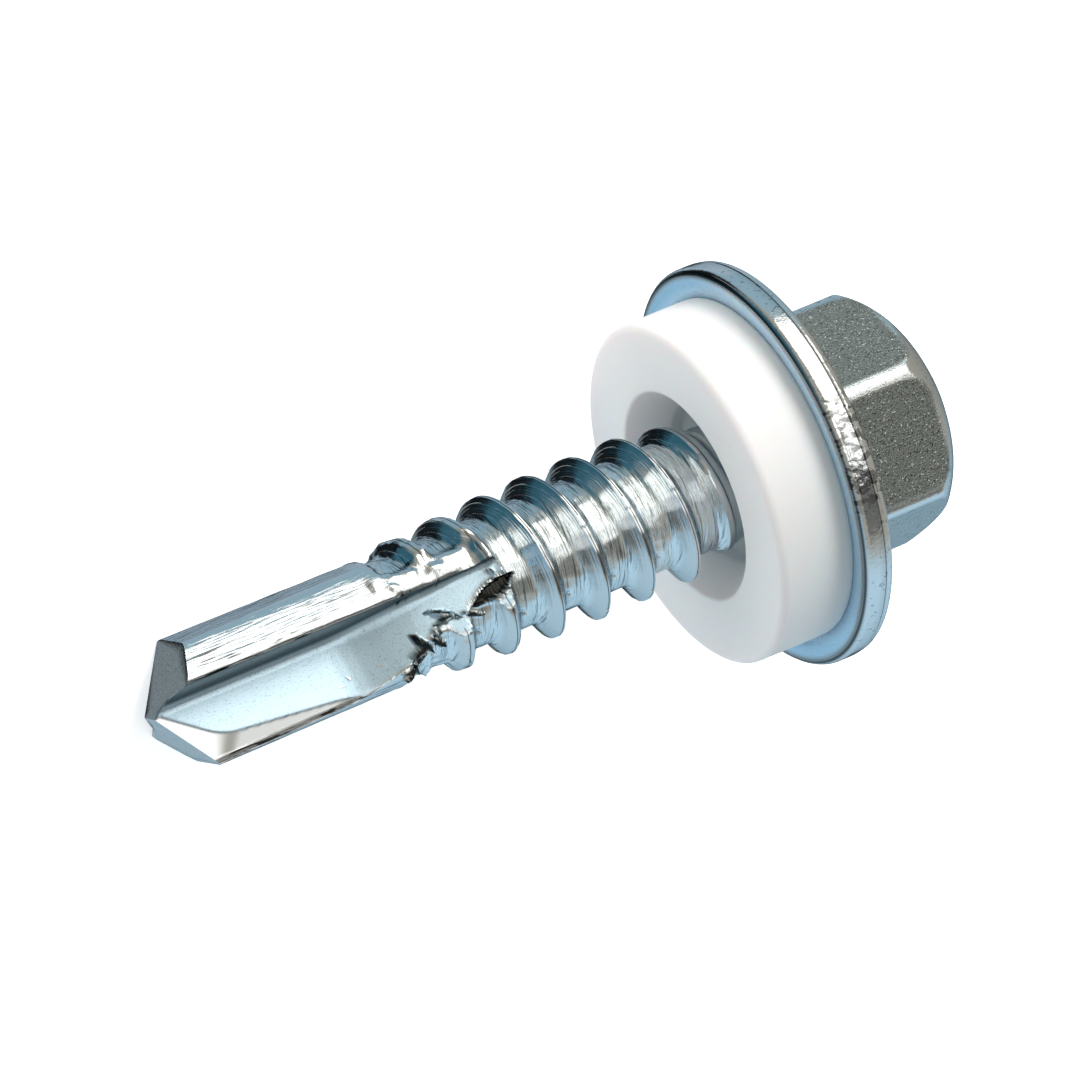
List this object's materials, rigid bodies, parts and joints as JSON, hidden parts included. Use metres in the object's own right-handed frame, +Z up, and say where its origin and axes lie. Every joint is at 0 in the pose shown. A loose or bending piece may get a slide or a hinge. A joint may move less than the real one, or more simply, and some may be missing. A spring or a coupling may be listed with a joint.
{
  "type": "self drilling screw",
  "caption": "Zinc plated self drilling screw with a hexagon flange head, a coarse thread, a forged drill point and a white sealing washer.",
  "frame": {"origin": "centre of the underside of the bounding box, on the ground that the screw lies on", "axes": "+X runs level towards the head, +Z is up, +Y is to the side; the screw's own axis slopes down to the drill point at -X"},
  "size_m": [0.0304, 0.0144, 0.0142],
  "materials": {
    "zinc_steel": "bright zinc plating with fine forging and rolling marks",
    "white_plastic": "satin white moulded plastic"
  },
  "bodies": {
    "screw": {"screw": "zinc_steel"},
    "washer": {"sealing_washer": "white_plastic"}
  },
  "joints": [
    {"name": "washer_spin", "type": "hinge", "parent": "screw", "child": "washer", "pos_m": [0.00704, 0, 0.00666], "axis": [-0.9724, 0, -0.2335], "continuous": true}
  ]
}
